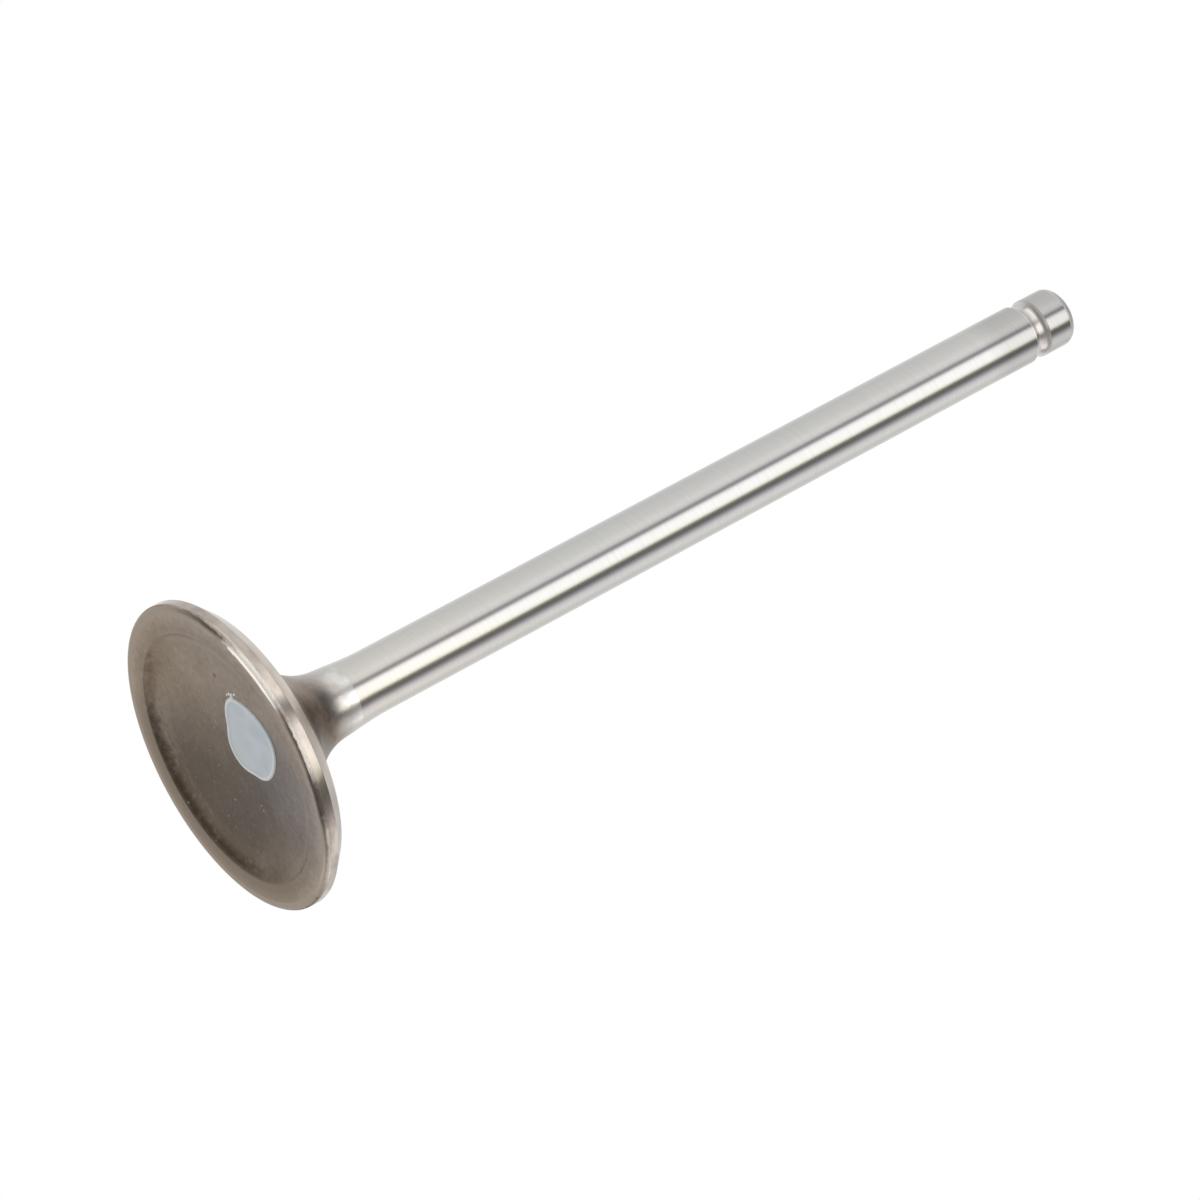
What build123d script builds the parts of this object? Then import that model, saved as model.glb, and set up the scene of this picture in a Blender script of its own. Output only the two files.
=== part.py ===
"""Engine valve: a poppet valve for one port of a petrol engine with several valves to a cylinder.

The real part is forged from one bar of heat-resisting steel and then turned and ground, so it is
one solid. It is modelled standing on its head: the rim of the combustion face lies in the plane
Z = 0, centred on the origin, and the stem rises along +Z. Sizes are in millimetres and degrees,
and every angle of a wall is measured from the plane of the head.
"""
from build123d import *
import math
import os

# Overall sizes.
overall_length = 101.1
head_diameter = 30.0
stem_diameter = 5.97

# Head: the rounded edge of the face, the plain margin and the ground seat above it.
face_edge_radius = 0.45
margin_height = 1.17
seat_angle = 45.0
seat_width = 1.95

# Dish forged into the combustion face, inside a flat rim.
rim_width = 2.7
dish_depth = 0.7
dish_wall_angle = 45.0
dish_cove_radius = 1.9
dish_edge_radius = 0.2

# Underside of the head, tulip and neck, up to where the ground stem starts.
underside_angle = 27.0
tulip_radius = 6.6
neck_angle = 85.0
neck_height = 15.4
neck_blend_radius = 30.0

# Round-bottomed groove for the keepers, measured down from the tip to the groove's middle.
groove_radius = 0.9
groove_depth = 0.7
groove_to_tip = 4.35
groove_edge_radius = 0.15

# Rounded edge of the tip.
tip_edge_radius = 0.9

# The most that a rounding may take of the shorter straight run beside its corner.
run_share = 0.8


def point_along(start, angle, length):
    """The point at a length from start, at an angle from the outward radial direction."""
    turn = math.radians(angle)
    return (start[0] + length * math.cos(turn), start[1] + length * math.sin(turn))


def crossing(start, angle, end, end_angle):
    """Where the line that leaves start at an angle meets the line that leaves end at its own."""
    spread = math.sin(math.radians(end_angle - angle))
    across, up = end[0] - start[0], end[1] - start[1]
    end_turn = math.radians(end_angle)
    length = (across * math.sin(end_turn) - up * math.cos(end_turn)) / spread
    return point_along(start, angle, length)


def valve_corners():
    """The sharp corners of the half profile, as (radius, height), from the dish to the tip."""
    head_radius = head_diameter / 2
    stem_radius = stem_diameter / 2
    dish_edge = (head_radius - rim_width, 0)
    dish_wall = dish_depth / math.sin(math.radians(dish_wall_angle))
    seat_bottom = (head_radius, margin_height)
    seat_top = point_along(seat_bottom, 180 - seat_angle, seat_width)
    neck_top = (stem_radius, neck_height)
    return {
        "dish centre": (0, dish_depth),
        "dish floor": point_along(dish_edge, 180 - dish_wall_angle, dish_wall),
        "dish edge": dish_edge,
        "face edge": (head_radius, 0),
        "seat bottom": seat_bottom,
        "seat top": seat_top,
        "tulip": crossing(seat_top, 180 - underside_angle, neck_top, 180 - neck_angle),
        "neck top": neck_top,
        "tip edge": (stem_radius, overall_length),
        "tip centre": (0, overall_length),
    }


def fitting_radius(radius, corners, name):
    """The rounding radius at a named corner, kept inside the straight runs on both sides."""
    names = list(corners)
    place = names.index(name)
    corner = Vector(*corners[name])
    to_previous = Vector(*corners[names[place - 1]]) - corner
    to_next = Vector(*corners[names[place + 1]]) - corner
    half_turn = math.radians(180 - to_previous.get_angle(to_next)) / 2
    shorter_run = min(to_previous.length, to_next.length)
    return min(radius, run_share * shorter_run / math.tan(half_turn))


def rounded_profile():
    """The half profile with its edges rounded, before the keeper groove is cut."""
    corners = valve_corners()
    profile = make_face(Polyline(*corners.values(), close=True))
    rounding = {
        "dish floor": dish_cove_radius,
        "dish edge": dish_edge_radius,
        "face edge": face_edge_radius,
        "tulip": tulip_radius,
        "neck top": neck_blend_radius,
        "tip edge": tip_edge_radius,
    }
    for name, radius in rounding.items():
        corner = profile.vertices().sort_by_distance(corners[name])[0]
        profile = fillet(corner, fitting_radius(radius, corners, name))
    return profile


def grooved(profile):
    """The profile with the keeper groove cut into the stem and the groove's edges eased."""
    stem_radius = stem_diameter / 2
    groove_height = overall_length - groove_to_tip
    groove_centre = (stem_radius - groove_depth + groove_radius, groove_height)
    profile = profile - Pos(*groove_centre) * Circle(groove_radius)
    half_mouth = math.sqrt(groove_radius**2 - (groove_radius - groove_depth) ** 2)
    for side in (-1, 1):
        mouth = (stem_radius, groove_height + side * half_mouth)
        corner = profile.vertices().sort_by_distance(mouth)[0]
        profile = fillet(corner, groove_edge_radius)
    return profile


def make_valve():
    """The valve, its half profile turned once round the stem's axis."""
    profile = grooved(rounded_profile())
    return revolve(Plane.XZ * profile, Axis.Z)


os.makedirs("parts", exist_ok=True)
export_step(make_valve(), "parts/valve.step")
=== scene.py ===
"""An engine valve, standing on its head, in plain studio light."""
import math

import bpy
from mathutils import Matrix, Vector


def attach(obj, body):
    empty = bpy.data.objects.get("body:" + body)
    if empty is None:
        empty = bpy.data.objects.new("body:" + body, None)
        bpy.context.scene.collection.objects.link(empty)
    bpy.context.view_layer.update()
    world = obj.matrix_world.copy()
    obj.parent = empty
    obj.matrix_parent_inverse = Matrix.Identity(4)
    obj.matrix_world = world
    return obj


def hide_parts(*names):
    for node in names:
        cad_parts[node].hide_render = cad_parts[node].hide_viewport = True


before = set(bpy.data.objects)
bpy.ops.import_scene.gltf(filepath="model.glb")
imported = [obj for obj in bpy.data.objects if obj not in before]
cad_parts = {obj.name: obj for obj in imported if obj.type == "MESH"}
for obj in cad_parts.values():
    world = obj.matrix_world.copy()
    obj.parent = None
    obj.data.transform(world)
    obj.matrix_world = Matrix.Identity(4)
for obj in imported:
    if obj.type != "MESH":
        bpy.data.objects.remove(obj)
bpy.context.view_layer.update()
MM = 0.001


# The combustion face is the underside of the forged head: a shallow dish inside a flat rim. It
# keeps the brown-grey scale of forging and heat treatment, which is paler on the rim, where it
# has been rubbed. Round a place on the far side the scale is made darker, as painted shade, and
# the far cove of the dish is made paler, as painted light.
head_radius = 15.0 * MM
rim_width = 2.7 * MM
dish_depth = 0.7 * MM
dish_wall_angle = 45.0
dish_cove_radius = 1.9 * MM
dish_edge_radius = 0.2 * MM
face_edge_radius = 0.45 * MM
flat_end = 0.9 * MM
line_width = 0.45 * MM
ring_corners = 256
start_radius = 0.3 * MM
# Nearly all of a grain pattern lies in its span, and most of it in the middle.
grain_span = (0.3, 0.7)
grain_middle = (0.35, 0.65)
# A patch has its place, and a fade is the pair of distances between which it comes or goes.
# The darker scale round this place is painted shade; the paler far cove is painted light.
shade_patch_place = (3.7 * MM, 9.9 * MM, dish_depth)
shade_patch_shape = (1, 0.62, 1)
shade_patch_fade = (5.2 * MM, 13.2 * MM)
blue_place = (4.5 * MM, -6.5 * MM, dish_depth)
blue_fade = (0.3 * MM, 9 * MM)
cool_fade = (-9 * MM, 2 * MM)
cove_place = (1.8 * MM, 12 * MM, dish_depth)
cove_fade = (4 * MM, 13 * MM)
cove_start = (9.3 * MM, 11.2 * MM)
cove_end = (11.45 * MM, 12.2 * MM)
rim_start = (11.9 * MM, 12.3 * MM)
rim_rubbing = (12.9 * MM, 14.3 * MM)
pit_place = (-6.9 * MM, -5.0 * MM, dish_depth)
pit_fade = (0.08 * MM, 0.3 * MM)
fleck_span = (0.74, 0.8)
face_relief = 0.0016 * MM
scale_painted_shade = (0.092, 0.065, 0.041)
scale_brown = (0.18, 0.136, 0.098)
scale_grey = (0.295, 0.226, 0.162)
scale_rubbed = (0.48, 0.39, 0.31)
blue_tint = (0.77, 0.83, 0.99, 1)
cool_tint = (1.03, 1.08, 1.2, 1)
cove_painted_light = (2.0, 2.2, 2.55, 1)
pit_dark = (0.05, 0.035, 0.03, 1)
fleck_pale = (0.5, 0.42, 0.34, 1)

# The valve's mesh starts at the middle of the dish, and each section carries the same ring of
# edges further up the valve.
bpy.ops.object.select_all(action="DESELECT")
bpy.ops.mesh.primitive_circle_add(
    vertices=ring_corners, radius=start_radius, fill_type="NGON", location=(0, 0, dish_depth)
)
valve = bpy.context.object
valve.name = "valve_body"
bpy.ops.object.transform_apply(location=True, rotation=True, scale=True)
bpy.ops.object.mode_set(mode="EDIT")
bpy.ops.mesh.select_mode(type="EDGE")
bpy.ops.mesh.select_all(action="SELECT")
ring = {"radius": start_radius, "height": dish_depth, "finished faces": 0}


def turn_to(radius, height):
    """Carries the open ring of edges on to a new radius and height."""
    bpy.ops.mesh.extrude_edges_move(TRANSFORM_OT_translate={"value": (0, 0, height - ring["height"])})
    grow = radius / ring["radius"]
    bpy.ops.transform.resize(value=(grow, grow, 1), center_override=(0, 0, height))
    ring["radius"] = radius
    ring["height"] = height


def turn_straight(radius, height, steps):
    """Carries the ring along a straight wall in even steps."""
    from_radius, from_height = ring["radius"], ring["height"]
    for step in range(1, steps + 1):
        share = step / steps
        turn_to(from_radius + (radius - from_radius) * share, from_height + (height - from_height) * share)


def turn_round(corner, radius, before, after, steps):
    """Carries the ring round a corner between two walls, on an arc of that radius that touches
    both. The walls are given as angles from the outward direction."""
    bend = (after - before + 180) % 360 - 180
    reach = radius * abs(math.tan(math.radians(bend / 2)))
    x = corner[0] - reach * math.cos(math.radians(before))
    z = corner[1] - reach * math.sin(math.radians(before))
    side = 1 if bend > 0 else -1
    centre_x = x - side * radius * math.sin(math.radians(before))
    centre_z = z + side * radius * math.cos(math.radians(before))
    for step in range(steps + 1):
        angle = math.radians(before + bend * step / steps - 90 * side)
        turn_to(centre_x + radius * math.cos(angle), centre_z + radius * math.sin(angle))


def new_material(name, colour, metallic, roughness):
    """A plain material, whose colour and roughness are then varied by patterns."""
    material = bpy.data.materials.new(name)
    material.use_nodes = True
    shader = material.node_tree.nodes["Principled BSDF"]
    shader.inputs["Base Color"].default_value = (*colour, 1)
    shader.inputs["Metallic"].default_value = metallic
    shader.inputs["Roughness"].default_value = roughness
    return material


def node(material, kind, settings=None, **inputs):
    """Adds a node, with its settings, and with a value or a link for each input named."""
    added = material.node_tree.nodes.new(kind)
    for key, value in (settings or {}).items():
        setattr(added, key, value)
    for key, value in inputs.items():
        socket = added.inputs[int(key[1:])] if key[1:].isdigit() else added.inputs[key.replace("_", " ")]
        if isinstance(value, bpy.types.NodeSocket):
            material.node_tree.links.new(value, socket)
        else:
            socket.default_value = value
    return added


def here(material):
    """Each point's own place on its piece."""
    return node(material, "ShaderNodeTexCoord").outputs["Object"]


def along(material, axis):
    """Each point's own place along one axis."""
    return node(material, "ShaderNodeSeparateXYZ", Vector=here(material)).outputs[axis]


def work_out(material, operation, *parts):
    """Works one pattern out from others."""
    inputs = {f"i{number}": part for number, part in enumerate(parts)}
    return node(material, "ShaderNodeMath", {"operation": operation}, **inputs).outputs["Value"]


def total(material, *parts):
    """Adds patterns up."""
    added = parts[0]
    for part in parts[1:]:
        added = work_out(material, "ADD", added, part)
    return added


def grain(material, cycles, detail, shift=0.0):
    """A cloudy pattern with so many cycles to a metre along x, y and z."""
    stretched = node(
        material, "ShaderNodeMapping", Vector=here(material), Scale=cycles, Location=(shift, shift, shift)
    )
    return node(
        material, "ShaderNodeTexNoise", Vector=stretched.outputs["Vector"], Scale=1.0, Detail=detail
    ).outputs["Fac"]


def ramp(material, factor, *stops):
    """A smooth run of tones, each given with its place along the factor. A single number stands
    for a grey."""
    colours = node(material, "ShaderNodeValToRGB", Fac=factor)
    points = colours.color_ramp.elements
    for number, (place, tone) in enumerate(stops):
        point = points[number] if number < len(points) else points.new(place)
        point.position = place
        point.color = (*tone, 1) if isinstance(tone, tuple) else (tone, tone, tone, 1)
    return colours.outputs["Color"]


def mix(material, factor, first, second, way="MIX"):
    """Mixes two colours by a factor."""
    mixed = node(
        material, "ShaderNodeMix", {"data_type": "RGBA", "blend_type": way}, i0=factor, i6=first, i7=second
    )
    return mixed.outputs[2]


def tint(material, factor, colour, tone):
    """Multiplies a colour by a tone, as far as the factor says."""
    return mix(material, factor, colour, tone, "MULTIPLY")


def level(material, factor, low, high, start=0.0, end=1.0):
    """Turns a factor's run from start to end into a run from low to high."""
    ranged = node(
        material, "ShaderNodeMapRange",
        Value=factor, From_Min=start, From_Max=end, To_Min=low, To_Max=high,
    )
    return ranged.outputs["Result"]


def distance_from(material, place, shape=(1, 1, 1)):
    """The distance from a place on the valve, with each direction counted at its share."""
    counted = node(
        material, "ShaderNodeVectorMath", {"operation": "MULTIPLY"}, i0=here(material), i1=shape
    )
    counted_place = tuple(part * share for part, share in zip(place, shape))
    away = node(
        material, "ShaderNodeVectorMath", {"operation": "DISTANCE"},
        i0=counted.outputs["Vector"], i1=counted_place,
    )
    return away.outputs["Value"]


def bump(material, height, distance):
    """Raises the surface by the height pattern, by at most the distance."""
    raised = node(material, "ShaderNodeBump", Height=height, Distance=distance)
    wire(material, "Normal", raised.outputs["Normal"])


def wire(material, name, source):
    """Links a pattern to one of the material's own inputs."""
    material.node_tree.links.new(source, material.node_tree.nodes["Principled BSDF"].inputs[name])


def finish_with(material):
    """Gives the material to every face turned since the last time."""
    bpy.ops.object.mode_set(mode="OBJECT")
    if material.name not in valve.data.materials:
        valve.data.materials.append(material)
    number = valve.data.materials.find(material.name)
    for face in valve.data.polygons[ring["finished faces"]:]:
        face.material_index = number
    ring["finished faces"] = len(valve.data.polygons)
    bpy.ops.object.mode_set(mode="EDIT")


forged_scale = new_material("forged_scale", scale_brown, 0.9, 0.42)
face_fine = grain(forged_scale, (1600, 1600, 1600), 5)
face_broad = grain(forged_scale, (260, 260, 260), 4, 4.0)
# Darker scale round a place on the far side is painted shade, mixed with the scale's own grain.
from_shade_patch = distance_from(forged_scale, shade_patch_place, shade_patch_shape)
from_middle = distance_from(forged_scale, (0, 0, 0))
face_painted_shade_and_grain = total(
    forged_scale,
    level(forged_scale, from_shade_patch, 0.15, 0.61, *shade_patch_fade),
    level(forged_scale, face_fine, -0.09, 0.09, *grain_span),
    level(forged_scale, face_broad, -0.06, 0.06, *grain_span),
)
rim_age = level(forged_scale, from_middle, 0, 0.48, *rim_start)
wear_and_painted_shade = total(
    forged_scale, work_out(forged_scale, "MAXIMUM", face_painted_shade_and_grain, rim_age),
    level(forged_scale, from_middle, 0, 0.2, *rim_rubbing),
    level(forged_scale, face_fine, -0.06, 0.06, *grain_span),
)
brown_scale = ramp(
    forged_scale, wear_and_painted_shade, (0.15, scale_painted_shade), (0.4, scale_brown), (0.65, scale_grey), (1.0, scale_rubbed)
)
blueing = level(forged_scale, distance_from(forged_scale, blue_place), 1, 0, *blue_fade)
cooling = level(forged_scale, along(forged_scale, "Y"), 1, 0, *cool_fade)
# The far cove of the dish is made paler, as painted light.
far_side = level(forged_scale, distance_from(forged_scale, cove_place), 1, 0, *cove_fade)
cove_ring = work_out(
    forged_scale, "MINIMUM",
    level(forged_scale, from_middle, 0, 1, *cove_start), level(forged_scale, from_middle, 1, 0, *cove_end),
)
in_cove = work_out(forged_scale, "MULTIPLY", cove_ring, far_side)
blued = tint(forged_scale, blueing, brown_scale, blue_tint)
cooled = tint(forged_scale, cooling, blued, cool_tint)
scale_with_cove_light = tint(forged_scale, in_cove, cooled, cove_painted_light)
fleck = level(forged_scale, grain(forged_scale, (2300, 2300, 2300), 1, 9.0), 0, 0.7, *fleck_span)
flecked = mix(forged_scale, fleck, scale_with_cove_light, fleck_pale)
pit = level(forged_scale, distance_from(forged_scale, pit_place), 0.8, 0, *pit_fade)
wire(forged_scale, "Base Color", mix(forged_scale, pit, flecked, pit_dark))
wire(forged_scale, "Roughness", level(forged_scale, face_fine, 0.36, 0.48, *grain_middle))
bump(forged_scale, face_fine, face_relief)

dish_radius = head_radius - rim_width
wall_run = dish_depth / math.tan(math.radians(dish_wall_angle))
turn_straight(dish_radius - wall_run - flat_end, dish_depth, steps=30)
turn_round((dish_radius - wall_run, dish_depth), dish_cove_radius, 0, -dish_wall_angle, steps=10)
turn_round((dish_radius, 0), dish_edge_radius, -dish_wall_angle, 0, steps=4)
turn_straight(head_radius - face_edge_radius - line_width, 0, steps=8)
finish_with(forged_scale)


# The corner between the face and the margin is rounded and machined bare. Just inside it a thin
# line of scale is left. Round the near side the line's and the corner's tones go by bearing as
# painted reflections: painted dark reflections along two stretches of the line, and between the
# two a painted highlight on the corner.
# This many degrees of the corner's rounding take these tones, and the rest belongs to the margin.
painted_corner_arc = 70
edge_steps = 8
edge_ring_gap = 0.05 * MM
line_start = (14.24 * MM, 14.42 * MM)
corner_start = (14.76 * MM, 14.88 * MM)
furthest_shift = 0.5 * MM
edge_unevenness = 0.06 * MM
bearing_unevenness = 0.005
polished_span = (0.57, 0.64)
edge_relief = 0.003 * MM
edge_painted_highlight = (1.0, 0.96, 0.9)
edge_painted_light = (0.5, 0.42, 0.345)
edge_pale = (0.36, 0.295, 0.235)
edge_brown = (0.27, 0.22, 0.175)
edge_painted_dull = (0.19, 0.152, 0.122)
edge_painted_dark = (0.13, 0.104, 0.084)
edge_painted_black = (0.092, 0.074, 0.061)
bare_painted_highlight = (1.0, 0.97, 0.93)
bare_grey = (0.66, 0.61, 0.56)
bare_brown = (0.42, 0.35, 0.285)
bare_pale = (0.83, 0.78, 0.7)
bare_painted_dark = (0.26, 0.22, 0.19)
# Round the near side these tone tables are painted reflections: their brightest tones are painted highlights
# and their darkest painted dark reflections.
line_tones = (
    (-180, edge_pale),
    (-70, edge_pale),
    (-60, edge_brown),
    (-46, edge_painted_dark),
    (-39, edge_brown),
    (-35, edge_painted_highlight),
    (-9, edge_painted_highlight),
    (-5, edge_pale),
    (2, edge_painted_dull),
    (14, edge_painted_dull),
    (20, edge_painted_black),
    (34, edge_painted_black),
    (41, edge_brown),
    (47, edge_pale),
    (60, edge_painted_light),
    (80, edge_pale),
)
bare_tones = (
    (-180, bare_brown),
    (-78, bare_brown),
    (-62, bare_grey),
    (-38, bare_grey),
    (-28, bare_painted_highlight),
    (-9, bare_painted_highlight),
    (-5, bare_grey),
    (-2.5, bare_grey),
    (2, bare_painted_highlight),
    (17, bare_painted_highlight),
    (24, bare_painted_dark),
    (33, bare_painted_dark),
    (40, bare_pale),
    (62, bare_pale),
    (78, bare_brown),
)
# How far inward the line and the corner move at each bearing, in millimetres. Where they move
# furthest inward, the line is smoother too.
line_shifts = (
    (-180, 0.0),
    (-68, -0.08),
    (-60, -0.16),
    (-46, -0.04),
    (-38, 0.0),
    (-31, 0.14),
    (-14, 0.14),
    (-4, -0.02),
    (0, 0.0),
    (10, 0.03),
    (22, 0.06),
    (36, 0.03),
    (48, -0.05),
    (70, 0.0),
)


def bearing_of(material, place):
    """The bearing of a place round the axis, as 0 to 1. The camera's side, -Y, is at 0.5."""
    turned = node(material, "ShaderNodeMapping", Vector=place, Rotation=(0, 0, math.radians(90)))
    round_axis = node(
        material, "ShaderNodeTexGradient", {"gradient_type": "RADIAL"}, Vector=turned.outputs["Vector"]
    )
    return round_axis.outputs["Fac"]


def by_bearing(tones):
    """Turns bearings in degrees into places on a ramp."""
    return [(0.5 + angle / 360, tone) for angle, tone in tones]


def turn_face_edge(angles):
    """Carries the ring round the edge of the face, to each of these angles of its rounding."""
    for angle in angles:
        turned = math.radians(angle)
        turn_to(
            head_radius - face_edge_radius * (1 - math.sin(turned)), face_edge_radius * (1 - math.cos(turned))
        )


edge_with_painted_sheen = new_material("edge_with_painted_sheen", edge_pale, 0.95, 0.38)
edge_fine = grain(edge_with_painted_sheen, (1500, 1500, 1500), 4)
edge_bearing = total(
    edge_with_painted_sheen, bearing_of(edge_with_painted_sheen, here(edge_with_painted_sheen)),
    level(edge_with_painted_sheen, edge_fine, -bearing_unevenness, bearing_unevenness, *grain_span),
)
edge_line = ramp(edge_with_painted_sheen, edge_bearing, *by_bearing(line_tones))
edge_bare = ramp(edge_with_painted_sheen, edge_bearing, *by_bearing(bare_tones))
shifts = ramp(edge_with_painted_sheen, edge_bearing, *by_bearing((angle, 0.5 + shift) for angle, shift in line_shifts))
edge_reach = total(
    edge_with_painted_sheen, distance_from(edge_with_painted_sheen, (0, 0, 0)),
    level(edge_with_painted_sheen, shifts, -furthest_shift, furthest_shift),
    level(edge_with_painted_sheen, edge_fine, -edge_unevenness, edge_unevenness, *grain_span),
)
on_line = level(edge_with_painted_sheen, edge_reach, 0, 1, *line_start)
on_corner = level(edge_with_painted_sheen, edge_reach, 0, 1, *corner_start)
lined = mix(edge_with_painted_sheen, on_line, (*edge_pale, 1), edge_line)
wire(edge_with_painted_sheen, "Base Color", mix(edge_with_painted_sheen, on_corner, lined, edge_bare))
polished = level(edge_with_painted_sheen, shifts, 0.42, 0.2, *polished_span)
wire(edge_with_painted_sheen, "Roughness", level(edge_with_painted_sheen, on_corner, polished, 0.92))
bump(edge_with_painted_sheen, edge_fine, edge_relief)
turn_straight(head_radius - face_edge_radius - edge_ring_gap, 0, steps=5)
turn_face_edge(painted_corner_arc * step / edge_steps for step in range(edge_steps + 1))
finish_with(edge_with_painted_sheen)


# The margin is the plain cylinder round the head. It is turned and left a little straw-coloured by
# heat. Round the near side its colour goes by bearing as painted reflections, with a painted
# highlight along one short stretch.
margin_height = 1.17 * MM
seat_angle = 45.0
seat_width = 1.95 * MM
sharp_edge = 0.06 * MM
last_steps = 3
margin_relief = 0.003 * MM
straw_dark = (0.72, 0.62, 0.54)
straw_pale = (0.98, 0.88, 0.8)
# Painted reflections by bearing round the near side, the brightest a painted highlight.
margin_painted_reflections = (
    (-180, 0.62),
    (-50, 0.58),
    (-34, 0.56),
    (-25, 0.54),
    (-20, 0.58),
    (-15, 0.8),
    (-9, 0.98),
    (-5, 0.54),
    (0, 0.54),
    (12, 0.6),
    (19, 0.46),
    (26, 0.6),
    (36, 0.57),
    (44, 0.64),
    (54, 0.56),
    (66, 0.6),
)


def turned_lines(material, lines, wander=60.0, slant=0.0):
    """A pattern of lines round the axis, so many to a metre along the valve's outline. They
    change slowly round the valve, and slant by that share of its width."""
    x, y, z = (along(material, axis) for axis in "XYZ")
    flat = node(material, "ShaderNodeCombineXYZ", X=x, Y=y)
    radius = node(material, "ShaderNodeVectorMath", {"operation": "LENGTH"}, Vector=flat.outputs["Vector"])
    along_outline = work_out(material, "SUBTRACT", radius.outputs["Value"], z)
    slanted = work_out(material, "MULTIPLY_ADD", x, slant, along_outline)
    line_place = node(material, "ShaderNodeCombineXYZ", X=slanted, Y=x, Z=y)
    stretched = node(
        material, "ShaderNodeMapping", Vector=line_place.outputs["Vector"], Scale=(lines, wander, wander)
    )
    return node(
        material, "ShaderNodeTexNoise", Vector=stretched.outputs["Vector"], Scale=1.0, Detail=2.0
    ).outputs["Fac"]


turned_steel = new_material("turned_steel", straw_pale, 1.0, 0.22)
margin_lines = turned_lines(turned_steel, 9000)
margin_clouds = grain(turned_steel, (400, 400, 900), 4)
straw = ramp(turned_steel, margin_clouds, (0.35, straw_dark), (0.6, straw_pale))
# Painted reflections and a painted highlight, by bearing.
margin_painted_sheen = ramp(turned_steel, bearing_of(turned_steel, here(turned_steel)), *by_bearing(margin_painted_reflections))
wire(turned_steel, "Base Color", tint(turned_steel, 1.0, straw, margin_painted_sheen))
wire(turned_steel, "Roughness", level(turned_steel, margin_clouds, 0.26, 0.16, *grain_middle))
bump(turned_steel, margin_lines, margin_relief)
turn_face_edge(painted_corner_arc + (90 - painted_corner_arc) * step / last_steps for step in range(1, last_steps + 1))
turn_round((head_radius, margin_height), sharp_edge, 90, 180 - seat_angle, steps=2)
finish_with(turned_steel)


# The seat is the band that seals against the seat ring in the cylinder head. It is ground at 45
# degrees, so it is clean metal with very fine lines round it, duller than the stem. Round the
# near side its colour goes by bearing as painted reflections.
seat_top = (
    head_radius - seat_width * math.cos(math.radians(seat_angle)),
    margin_height + seat_width * math.sin(math.radians(seat_angle)),
)
underside_angle = 27.0
seat_relief = 0.004 * MM
seat_dark = (0.71, 0.67, 0.615)
seat_pale = (0.9, 0.86, 0.81)
# Painted reflections by bearing round the near side.
seat_painted_reflections = (
    (-180, 0.8),
    (-52, 0.83),
    (-40, (0.86, 0.85, 0.84)),
    (-28, (0.91, 0.86, 0.83)),
    (-12, (0.89, 0.82, 0.78)),
    (-4, (0.97, 0.9, 0.86)),
    (1, (0.9, 0.83, 0.78)),
    (9, (0.65, 0.6, 0.56)),
    (20, (0.74, 0.71, 0.68)),
    (31, (0.64, 0.6, 0.57)),
    (44, (0.63, 0.62, 0.62)),
    (56, 0.76),
    (80, 0.8),
)

ground_seat = new_material("ground_seat", seat_pale, 1.0, 0.36)
seat_lines = turned_lines(ground_seat, 14000)
seat_clouds = grain(ground_seat, (300, 300, 300), 4, 2.0)
seat_ground = ramp(ground_seat, seat_clouds, (0.35, seat_dark), (0.62, seat_pale))
# Painted reflections, by bearing.
seat_painted_sheen = ramp(ground_seat, bearing_of(ground_seat, here(ground_seat)), *by_bearing(seat_painted_reflections))
wire(ground_seat, "Base Color", tint(ground_seat, 1.0, seat_ground, seat_painted_sheen))
wire(ground_seat, "Roughness", level(ground_seat, seat_lines, 0.3, 0.4, *grain_middle))
bump(ground_seat, seat_lines, seat_relief)
turn_round(seat_top, sharp_edge, 180 - seat_angle, 180 - underside_angle, steps=2)
finish_with(ground_seat)


# The underside of the head sweeps up through the tulip into the neck. It is forged, so it keeps
# a dark brown scale, which thins out up the neck into satin metal.
tulip_radius = 6.6 * MM
neck_angle = 85.0
neck_height = 15.4 * MM
neck_blend_radius = 30.0 * MM
stem_radius = 2.985 * MM
scale_end = 9.6 * MM
satin_start = 13.7 * MM
scale_lean = -0.22
scale_unevenness = 2.4 * MM
# A patch on the near right of the neck's scale is darkened, as a painted dark reflection.
dark_reflection_place = (3.4 * MM, -5.6 * MM, 6.2 * MM)
dark_reflection_fade = (1.2 * MM, 5.5 * MM)
# A place on the near side of the satin neck is lightened, as a painted highlight.
painted_highlight_place = (1.1 * MM, -3.1 * MM, 12.2 * MM)
painted_highlight_fade = (0.6 * MM, 2.4 * MM)
ground_start = 12.9 * MM
step_height = 0.008 * MM
neck_relief = 0.03 * MM
fine_share = 0.14
neck_dark = (0.158, 0.116, 0.084)
neck_brown = (0.297, 0.228, 0.17)
satin_grey = (0.61, 0.595, 0.57)
satin_pale = (0.74, 0.725, 0.705)
dark_reflection_tone = (0.56, 0.56, 0.58, 1)
painted_highlight_tone = (1.32, 1.32, 1.32, 1)

neck_scale = new_material("neck_scale", neck_brown, 0.95, 0.36)
neck_fine = grain(neck_scale, (1800, 1800, 1800), 4)
neck_broad = grain(neck_scale, (180, 180, 260), 3, 7.0)
neck_mottle = mix(neck_scale, 0.5, neck_fine, neck_broad)
brown = ramp(neck_scale, neck_mottle, (0.36, neck_dark), (0.64, neck_brown))
neck_up = work_out(neck_scale, "MULTIPLY_ADD", along(neck_scale, "X"), scale_lean, along(neck_scale, "Z"))
uneven = work_out(neck_scale, "MULTIPLY_ADD", neck_broad, scale_unevenness, neck_up)
bared = level(neck_scale, uneven, 0, 1, scale_end, satin_start)
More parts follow.
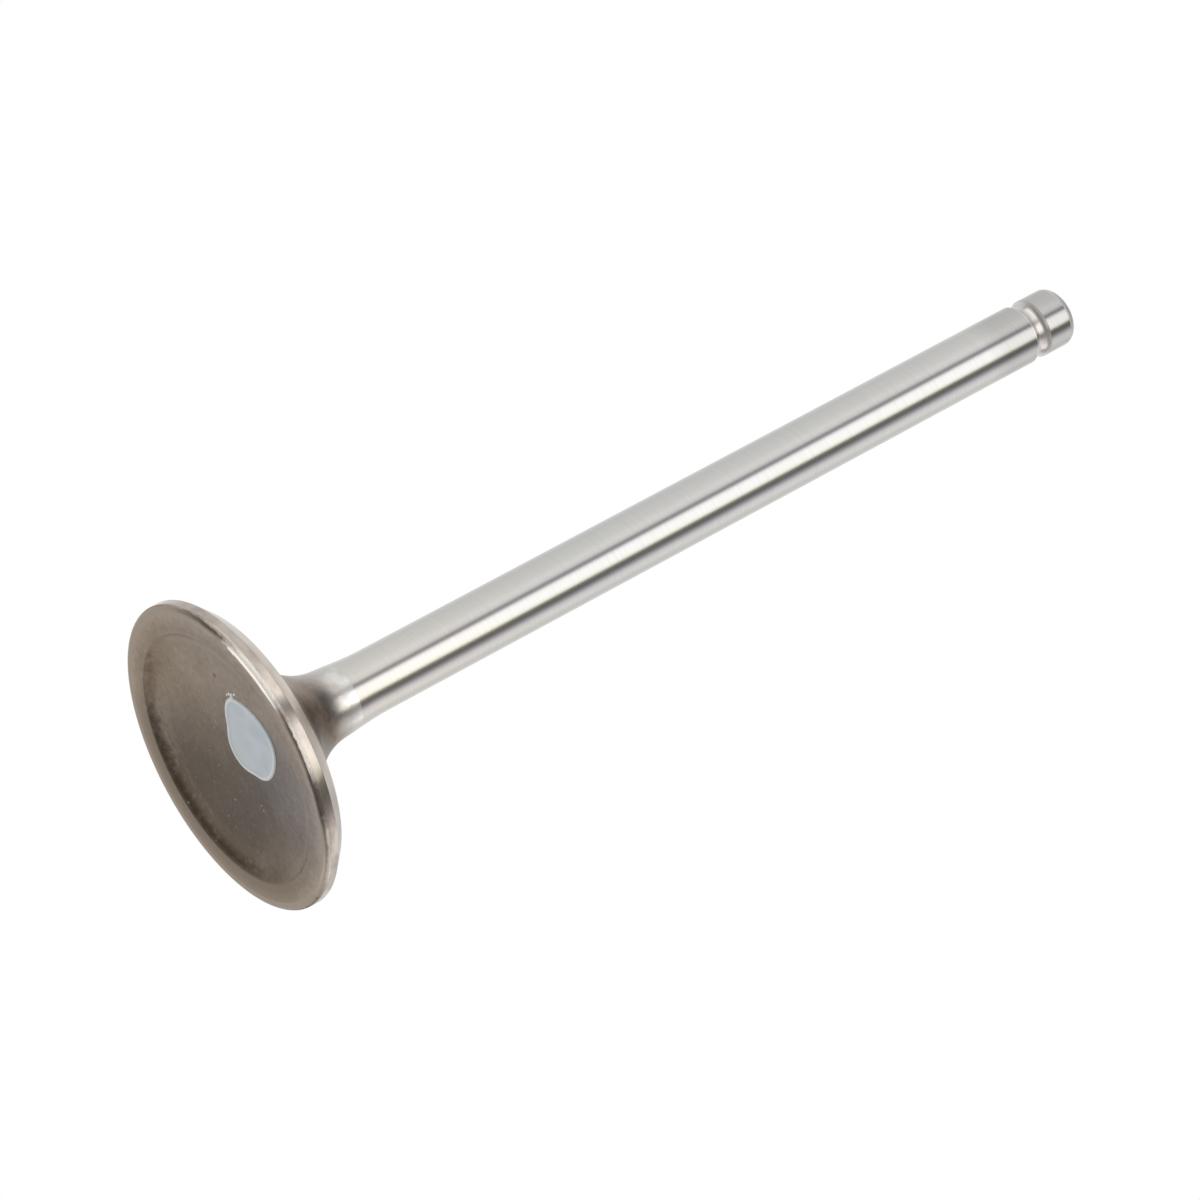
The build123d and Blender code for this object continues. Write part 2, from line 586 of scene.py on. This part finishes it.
# The scale is darkened round one place, as a painted dark reflection.
painted_dark_reflection = level(neck_scale, distance_from(neck_scale, dark_reflection_place), 1, 0, *dark_reflection_fade)
brown_with_dark_reflection = tint(neck_scale, painted_dark_reflection, brown, dark_reflection_tone)
neck_dents = grain(neck_scale, (620, 620, 620), 2, 3.0)
satin = ramp(neck_scale, neck_dents, (0.38, satin_grey), (0.62, satin_pale))
# The satin is lightened round one place, as a painted highlight.
painted_highlight = level(neck_scale, distance_from(neck_scale, painted_highlight_place), 1, 0, *painted_highlight_fade)
satin_with_painted_highlight = tint(neck_scale, painted_highlight, satin, painted_highlight_tone)
wire(neck_scale, "Base Color", mix(neck_scale, bared, brown_with_dark_reflection, satin_with_painted_highlight))
scale_rough = level(neck_scale, neck_mottle, 0.29, 0.36, *grain_middle)
satin_rough = level(neck_scale, neck_dents, 0.3, 0.22, *grain_middle)
wire(neck_scale, "Roughness", mix(neck_scale, bared, scale_rough, satin_rough))
denting = work_out(neck_scale, "MULTIPLY", neck_dents, bared)
bump(neck_scale, work_out(neck_scale, "MULTIPLY_ADD", neck_fine, fine_share, denting), neck_relief)

rise = math.tan(math.radians(underside_angle))
lean = 1 / math.tan(math.radians(neck_angle))
tulip_height = (seat_top[1] + rise * (seat_top[0] - stem_radius - lean * neck_height)) / (1 - rise * lean)
tulip = (stem_radius + lean * (neck_height - tulip_height), tulip_height)
tulip_reach = tulip_radius * math.tan(math.radians((neck_angle - underside_angle) / 2))
turn_straight(
    tulip[0] + tulip_reach * math.cos(math.radians(underside_angle)),
    tulip[1] - tulip_reach * math.sin(math.radians(underside_angle)),
    steps=20,
)
turn_round(tulip, tulip_radius, 180 - underside_angle, 180 - neck_angle, steps=24)
shoulder_radius = stem_radius + lean * (neck_height - ground_start)
turn_straight(shoulder_radius + step_height, ground_start - 0.1 * step_height, steps=6)
turn_to(shoulder_radius, ground_start)
finish_with(neck_scale)


# The stem slides in the valve guide. It is ground between centres and polished, so it is the
# brightest part, with hair-fine lines round it. It is a little warmer in tone towards the neck
# and darker towards its end.
length = 101.1 * MM
groove_radius = 0.9 * MM
groove_depth = 0.7 * MM
groove_height = length - 4.35 * MM
groove_edge = 0.12 * MM
warm_fade = (16 * MM, 40 * MM)
end_dark_start = (89.8 * MM, 92.2 * MM)
stem_relief = 0.002 * MM
steel_dark = (0.56, 0.555, 0.545)
steel_pale = (0.62, 0.612, 0.6)
warm_tint = (1.07, 1.04, 1.0, 1)
end_dark_tint = (0.86, 0.86, 0.86, 1)

ground_steel = new_material("ground_steel", steel_pale, 1.0, 0.2)
fine_lines = turned_lines(ground_steel, 16000, 40.0, 0.12)
broad_lines = turned_lines(ground_steel, 2500, 15.0, 0.12)
both_lines = mix(ground_steel, 0.25, fine_lines, broad_lines)
lined_steel = ramp(ground_steel, both_lines, (0.3, steel_dark), (0.6, steel_pale))
warming = level(ground_steel, along(ground_steel, "Z"), 1, 0, *warm_fade)
end_darkening = level(ground_steel, along(ground_steel, "Z"), 0, 1, *end_dark_start)
warmed = tint(ground_steel, warming, lined_steel, warm_tint)
wire(ground_steel, "Base Color", tint(ground_steel, end_darkening, warmed, end_dark_tint))
wire(ground_steel, "Roughness", level(ground_steel, both_lines, 0.22, 0.17, *grain_middle))
bump(ground_steel, fine_lines, stem_relief)
half_mouth = math.sqrt(groove_radius**2 - (groove_radius - groove_depth) ** 2)
turn_round((stem_radius, neck_height), neck_blend_radius, 180 - neck_angle, 90, steps=6)
turn_straight(stem_radius, groove_height - half_mouth - groove_edge, steps=40)
finish_with(ground_steel)


# The keeper groove is a half-round channel near the tip, turned with a form tool. The two
# keepers grip in it, so it is duller than the stem and faintly coloured.
groove_brown = (0.56, 0.525, 0.505)
groove_pale = (0.72, 0.69, 0.675)
groove_relief = 0.003 * MM
groove_steps = 12

turned_groove = new_material("turned_groove", groove_pale, 1.0, 0.3)
groove_lines = turned_lines(turned_groove, 9000)
groove_tone = ramp(turned_groove, groove_lines, (0.35, groove_brown), (0.6, groove_pale))
wire(turned_groove, "Base Color", groove_tone)
bump(turned_groove, groove_lines, groove_relief)
swing = math.degrees(math.asin(half_mouth / groove_radius))
groove_middle = stem_radius - groove_depth + groove_radius
for step in range(groove_steps + 1):
    angle = math.radians(-swing + 2 * swing * step / groove_steps)
    turn_to(groove_middle - groove_radius * math.cos(angle), groove_height + groove_radius * math.sin(angle))
finish_with(turned_groove)


# The tip is pushed by the cam's follower. Below it the short land is ground like the stem. Its
# edge is rounded with a stone and its end is ground flat, which leaves both a little duller.
tip_edge_radius = 0.9 * MM
end_radius = 0.2 * MM
tip_relief = 0.002 * MM
smooth_up_to = 30
tip_grey = (0.6, 0.59, 0.58)
tip_pale = (0.72, 0.71, 0.7)

stoned_tip = new_material("stoned_tip", tip_pale, 1.0, 0.5)
tip_lines = turned_lines(stoned_tip, 7000)
wire(stoned_tip, "Base Color", ramp(stoned_tip, tip_lines, (0.35, tip_grey), (0.62, tip_pale)))
wire(stoned_tip, "Roughness", level(stoned_tip, tip_lines, 0.44, 0.56, *grain_middle))
bump(stoned_tip, tip_lines, tip_relief)
turn_to(stem_radius, groove_height + half_mouth + groove_edge)
turn_straight(stem_radius, length - tip_edge_radius, steps=3)
finish_with(ground_steel)
turn_round((stem_radius, length), tip_edge_radius, 90, 180, steps=10)
turn_straight(end_radius, length, steps=4)
bpy.ops.mesh.edge_face_add()
finish_with(stoned_tip)
bpy.ops.mesh.select_all(action="SELECT")
bpy.ops.mesh.remove_doubles(threshold=1e-7)
bpy.ops.mesh.normals_make_consistent(inside=False)
bpy.ops.object.mode_set(mode="OBJECT")
bpy.ops.object.shade_smooth_by_angle(angle=math.radians(smooth_up_to))
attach(valve, "root")
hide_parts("valve")


# A dab of pale blue paint on the dish marks the valve as inspected. It was dropped on wet, so
# it is a thin glossy film with a thicker bead along its uneven outline. A few dried crumbs of
# it lie beside it.
dab_middle = (-0.5 * MM, -4.65 * MM)
dab_radius = 3.98 * MM
# Each lobe has a bearing and a width in degrees, and how far it reaches out.
dab_lobes = ((134, 34, -0.9 * MM), (-75, 30, 0.44 * MM), (-168, 20, 0.2 * MM), (36, 18, -0.3 * MM))
film_thickness = 0.04 * MM
bead_width = 0.42 * MM
bead_height = 0.08 * MM
sunk = 0.03 * MM
dab_corners = 160
dab_smooth_up_to = 60
bead_span = (dish_depth - 0.09 * MM, dish_depth - 0.058 * MM)
green_place = (0.2 * MM, -1.6 * MM, dish_depth)
green_fade = (0.5 * MM, 3.5 * MM)
bead_faint_place = (-1.3 * MM, -8.2 * MM, dish_depth)
bead_faint_fade = (1.2 * MM, 3.2 * MM)
crumb_side = (-4.45 * MM, -4.2 * MM)
crumb_sunk = 0.01 * MM
crumb_shape = (1, 1.3, 0.45)
paint_relief = 0.02 * MM
# Each crumb has its place across the face and its radius, in millimetres.
crumbs = (
    (-4.67, -6.17, 0.2),
    (-4.85, -5.85, 0.16),
    (-4.56, -6.75, 0.16),
    (-4.88, -5.4, 0.12),
    (-4.4, -5.95, 0.24),
)
paint_blue = (0.53, 0.64, 0.7)
paint_lilac = (0.66, 0.7, 0.77)
paint_green = (0.6, 0.68, 0.68, 1)
# The crumbs are pale paint; on the bead the paleness is partly its paint and partly a painted highlight.
pale_paint_and_painted_highlight = (0.83, 0.83, 0.82, 1)

bpy.ops.object.select_all(action="DESELECT")
bpy.ops.mesh.primitive_circle_add(
    vertices=dab_corners, radius=dab_radius, fill_type="NGON", location=(*dab_middle, dish_depth + sunk)
)
dab = bpy.context.object
dab.name = "paint_dab"
bpy.ops.object.transform_apply(location=True, rotation=True, scale=True)
for corner in dab.data.vertices:
    out = Vector((corner.co.x - dab_middle[0], corner.co.y - dab_middle[1]))
    bearing = math.degrees(math.atan2(out.y, out.x))
    reach = dab_radius
    for lobe_bearing, lobe_width, lobe_size in dab_lobes:
        away = (bearing - lobe_bearing + 180) % 360 - 180
        reach += lobe_size * math.exp(-((away / lobe_width) ** 2))
    corner.co.x = dab_middle[0] + out.x / dab_radius * reach
    corner.co.y = dab_middle[1] + out.y / dab_radius * reach
# The disc starts inside the metal and is extruded out of it. The insets then shape the bead and
# the film within it.
bpy.ops.object.mode_set(mode="EDIT")
bpy.ops.mesh.select_mode(type="FACE")
bpy.ops.mesh.select_all(action="SELECT")
bpy.ops.mesh.extrude_region_move(TRANSFORM_OT_translate={"value": (0, 0, -sunk - 0.5 * film_thickness)})
bpy.ops.mesh.inset(thickness=bead_width * 0.3, depth=0)
bpy.ops.transform.translate(value=(0, 0, -bead_height))
bpy.ops.mesh.inset(thickness=bead_width * 0.4, depth=0)
bpy.ops.mesh.inset(thickness=bead_width * 0.3, depth=0)
bpy.ops.transform.translate(value=(0, 0, 0.6 * bead_height))
bpy.ops.mesh.inset(thickness=bead_width, depth=0)
bpy.ops.mesh.select_all(action="SELECT")
bpy.ops.mesh.normals_make_consistent(inside=False)
bpy.ops.object.mode_set(mode="OBJECT")
bpy.ops.object.shade_smooth_by_angle(angle=math.radians(dab_smooth_up_to))
for x, y, crumb_radius in crumbs:
    bpy.ops.object.select_all(action="DESELECT")
    bpy.ops.mesh.primitive_uv_sphere_add(
        segments=14, ring_count=8, radius=crumb_radius * MM,
        location=(x * MM, y * MM, dish_depth - crumb_sunk),
    )
    crumb = bpy.context.object
    crumb.scale = crumb_shape
    bpy.ops.object.transform_apply(location=True, rotation=True, scale=True)
    bpy.ops.object.shade_smooth()
    dab.select_set(True)
    bpy.context.view_layer.objects.active = dab
    bpy.ops.object.join()
gloss_paint = new_material("gloss_paint", paint_blue, 0.0, 0.25)
paint_clouds = grain(gloss_paint, (300, 300, 300), 2, 5.0)
film_colour = ramp(gloss_paint, paint_clouds, (0.4, paint_blue), (0.6, paint_lilac))
green = level(gloss_paint, distance_from(gloss_paint, green_place), 0.8, 0, *green_fade)
film_tinted = mix(gloss_paint, green, film_colour, paint_green)
# The bead's paleness, partly a painted highlight, is faint round one place.
bead_part = level(gloss_paint, distance_from(gloss_paint, bead_faint_place), 0.25, 1, *bead_faint_fade)
on_bead = level(gloss_paint, along(gloss_paint, "Z"), bead_part, 0, *bead_span)
on_crumb = level(gloss_paint, along(gloss_paint, "X"), 1, on_bead, *crumb_side)
wire(gloss_paint, "Base Color", mix(gloss_paint, on_crumb, film_tinted, pale_paint_and_painted_highlight))
bump(gloss_paint, paint_clouds, paint_relief)
dab.data.materials.append(gloss_paint)
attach(dab, "root")


# The floor is a wide pale board, just clear of the face that the valve stands on. Only its upper
# side shows, so that a low camera looks through it at the face.
floor_size = 3.0
floor_gap = 0.1 * MM
floor_colour = (0.88, 0.88, 0.88)

bpy.ops.object.select_all(action="DESELECT")
bpy.ops.mesh.primitive_plane_add(size=floor_size, location=(0, 0, -floor_gap))
floor = bpy.context.object
floor.name = "floor"
floor_board = bpy.data.materials.new("floor_board")
floor_board.use_nodes = True
floor_board.node_tree.nodes.clear()
underside_seen = node(floor_board, "ShaderNodeNewGeometry").outputs["Backfacing"]
board = node(floor_board, "ShaderNodeBsdfDiffuse", Color=(*floor_colour, 1)).outputs["BSDF"]
clear = node(floor_board, "ShaderNodeBsdfTransparent").outputs["BSDF"]
one_sided = node(floor_board, "ShaderNodeMixShader", i0=underside_seen, i1=board, i2=clear)
node(floor_board, "ShaderNodeOutputMaterial", Surface=one_sided.outputs["Shader"])
floor.data.materials.append(floor_board)
floor.visible_diffuse = False
floor.visible_glossy = False
floor.visible_transmission = False
floor.visible_shadow = False


# The studio is white all round, with tall light boxes and a darker gap beside each, so that the
# round bright metal shows its shape. The camera itself sees plain white. One sun lamp with a
# wide disc gives the valve a soft shadow on the floor.
lamp_spread = 9.0
lamp_strength = 1.25
lamp_place = (-0.35, -0.3, 0.9)
# Between the two heights of each pair, in degrees, one part of the studio gives way to the next.
wall_start = (6, 16)
sky_start = (42, 56)
ground_sight = (-26, -44)
# These tones go by the bearing in degrees, and the sky's and ground's by the place along Y.
eye_level_tones = (
    (-180, 0.95),
    (-125, 0.8),
    (-90, (0.87, 0.88, 0.87)),
    (-60, (0.96, 0.95, 0.94)),
    (-38, (1.1, 1.1, 1.08)),
    (-22, (0.98, 0.97, 0.96)),
    (-17, 0.33),
    (-7, (0.33, 0.33, 0.35)),
    (-2, (1.35, 1.35, 1.42)),
    (6, 1.65),
    (30, (1.65, 1.65, 1.6)),
    (39, (1.5, 1.48, 1.28)),
    (44, (0.2, 0.2, 0.17)),
    (58, (0.14, 0.14, 0.12)),
    (68, (0.38, 0.36, 0.4)),
    (82, (0.95, 0.92, 0.96)),
    (100, (1.1, 1.09, 1.07)),
    (128, (0.82, 0.82, 0.8)),
    (150, (0.86, 0.86, 0.85)),
)
low_tones = (
    (-180, 1.0),
    (-112, 0.9),
    (-107, 0.35),
    (-98, 0.35),
    (-93, (1.3, 1.28, 1.22)),
    (-24, (1.3, 1.28, 1.22)),
    (-20, 0.4),
    (-8, 0.4),
    (-2, 1.5),
    (34, (1.5, 1.5, 1.45)),
    (42, (0.2, 0.2, 0.18)),
    (60, (0.2, 0.2, 0.18)),
    (80, (0.9, 0.88, 0.9)),
    (98, 0.9),
    (102, 1.4),
    (122, 1.4),
    (127, 0.3),
    (137, 0.3),
    (146, 1.0),
)
sky_tones = (
    (-0.3, 0.1),
    (-0.2, (0.33, 0.325, 0.32)),
    (-0.09, (0.52, 0.515, 0.51)),
    (0.1, (0.65, 0.645, 0.64)),
    (0.4, 0.8),
    (0.55, 1.0),
)
ground_tones = (
    (-0.45, 0.28),
    (0.0, 0.36),
    (0.5, 0.5),
    (0.77, 0.72),
)

bpy.ops.object.select_all(action="DESELECT")
bpy.ops.object.light_add(type="SUN", location=lamp_place)
lamp = bpy.context.object
lamp.name = "lamp"
lamp.data.angle = math.radians(lamp_spread)
lamp.data.energy = lamp_strength
lamp.rotation_euler = Vector(lamp_place).to_track_quat("Z", "Y").to_euler()
lamp.visible_camera = False
lamp.visible_glossy = False

world = bpy.data.worlds.new("studio")
bpy.context.scene.world = world
world.use_nodes = True
world.node_tree.nodes.clear()
sight = node(world, "ShaderNodeTexCoord").outputs["Generated"]
bearing = bearing_of(world, sight)
eye_level = ramp(world, bearing, *by_bearing(eye_level_tones))
low = ramp(world, bearing, *by_bearing(low_tones))
sight_parts = node(world, "ShaderNodeSeparateXYZ", Vector=sight)
upward = sight_parts.outputs["Z"]
backward = level(world, sight_parts.outputs["Y"], 0, 1, -1, 1)
sky, ground = (
    ramp(world, backward, *((0.5 + 0.5 * place, tone) for place, tone in tones))
    for tones in (sky_tones, ground_tones)
)
to_walls, to_sky, to_ground = (
    level(world, upward, 0, 1, *(math.sin(math.radians(height)) for height in heights))
    for heights in (wall_start, sky_start, ground_sight)
)
walls = mix(world, to_walls, low, eye_level)
studio_light = mix(world, to_ground, mix(world, to_sky, walls, sky), ground)
rays = node(world, "ShaderNodeLightPath")
background_seen = work_out(
    world, "MAXIMUM", rays.outputs["Is Camera Ray"], rays.outputs["Is Transmission Ray"]
)
seen = mix(world, background_seen, studio_light, (1, 1, 1, 1))
glow = node(world, "ShaderNodeBackground", Color=seen, Strength=1.0)
node(world, "ShaderNodeOutputWorld", Surface=glow.outputs["Background"])
bpy.context.scene.view_settings.view_transform = "Standard"


# The camera looks up at the face from below, with the stem running away from it.
lens_length = 147.87
sensor_width = 36
nearest_seen = 0.01
lens_tilt = 28.83
lens_roll = 61.62
head_from_lens = Vector((33.11, 14.10, 435.1)) * MM

bpy.ops.object.camera_add()
camera = bpy.context.object
camera_turn = (
    Matrix.Rotation(math.radians(90 + lens_tilt), 3, "X") @ Matrix.Rotation(math.radians(lens_roll), 3, "Z")
)
camera.rotation_euler = camera_turn.to_euler()
camera.location = camera_turn @ head_from_lens
camera.data.lens = lens_length
camera.data.sensor_width = sensor_width
camera.data.clip_start = nearest_seen
bpy.context.scene.camera = camera
